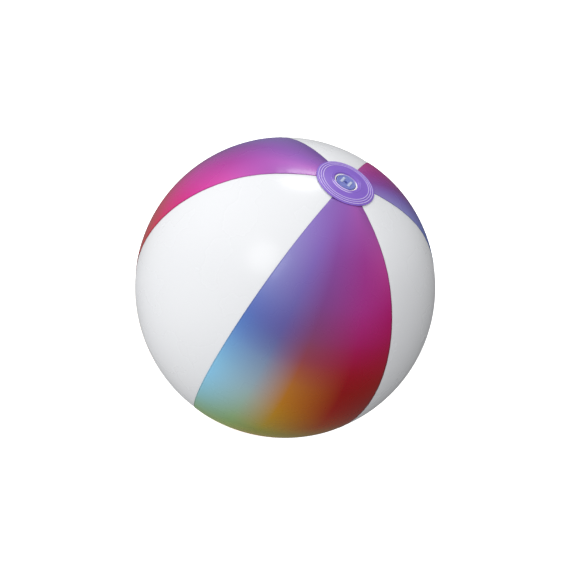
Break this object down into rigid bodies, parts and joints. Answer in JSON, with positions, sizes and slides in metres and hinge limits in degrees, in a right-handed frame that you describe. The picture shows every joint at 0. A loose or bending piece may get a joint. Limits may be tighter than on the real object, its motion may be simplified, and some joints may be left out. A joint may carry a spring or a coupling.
{
  "type": "inflatable beach ball",
  "caption": "Inflated vinyl beach ball with alternating rainbow and white panels, round pole patches and a push-in valve with a strapped stopper.",
  "frame": {"origin": "centre of the ball", "axes": "+Z through both poles towards the valve; -Y through the panel seam beside the stopper's strap"},
  "size_m": [0.3235, 0.324, 0.3205],
  "materials": {
    "printed_film": "glossy vinyl film with a soft blended rainbow print",
    "white_film": "glossy white vinyl film",
    "patch_film": "glossy translucent violet vinyl with pressed weld rings",
    "valve_vinyl": "soft pale blue translucent moulded vinyl",
    "flap_vinyl": "thin soft clear vinyl"
  },
  "bodies": {
    "ball": {"rainbow_panel_1": "printed_film", "rainbow_panel_2": "printed_film", "rainbow_panel_3": "printed_film", "white_panel_1": "white_film", "white_panel_2": "white_film", "white_panel_3": "white_film", "top_patch": "patch_film", "bottom_patch": "patch_film", "valve_flange": "valve_vinyl", "valve_boot": "valve_vinyl"},
    "valve": {"valve_stem": "valve_vinyl"},
    "stopper": {"stopper": "valve_vinyl", "stopper_strap": "valve_vinyl"},
    "flap": {"check_flap": "flap_vinyl"}
  },
  "joints": [
    {"name": "valve_slide", "type": "slide", "parent": "ball", "child": "valve", "axis": [0, 0, 1], "range_m": [0, 0.012], "deforming": ["valve_boot"]},
    {"name": "stopper_hinge", "type": "hinge", "parent": "valve", "child": "stopper", "pos_m": [0, -0.0108, 0.15922], "axis": [1, 0, 0], "range_deg": [0, 140], "deforming": ["stopper_strap"]},
    {"name": "flap_swing", "type": "hinge", "parent": "valve", "child": "flap", "pos_m": [0, 0.0055, 0.14022], "axis": [1, 0, 0], "range_deg": [0, 60], "stiffness_Nm_per_rad": 0.00006, "springref_deg": -28.65}
  ]
}
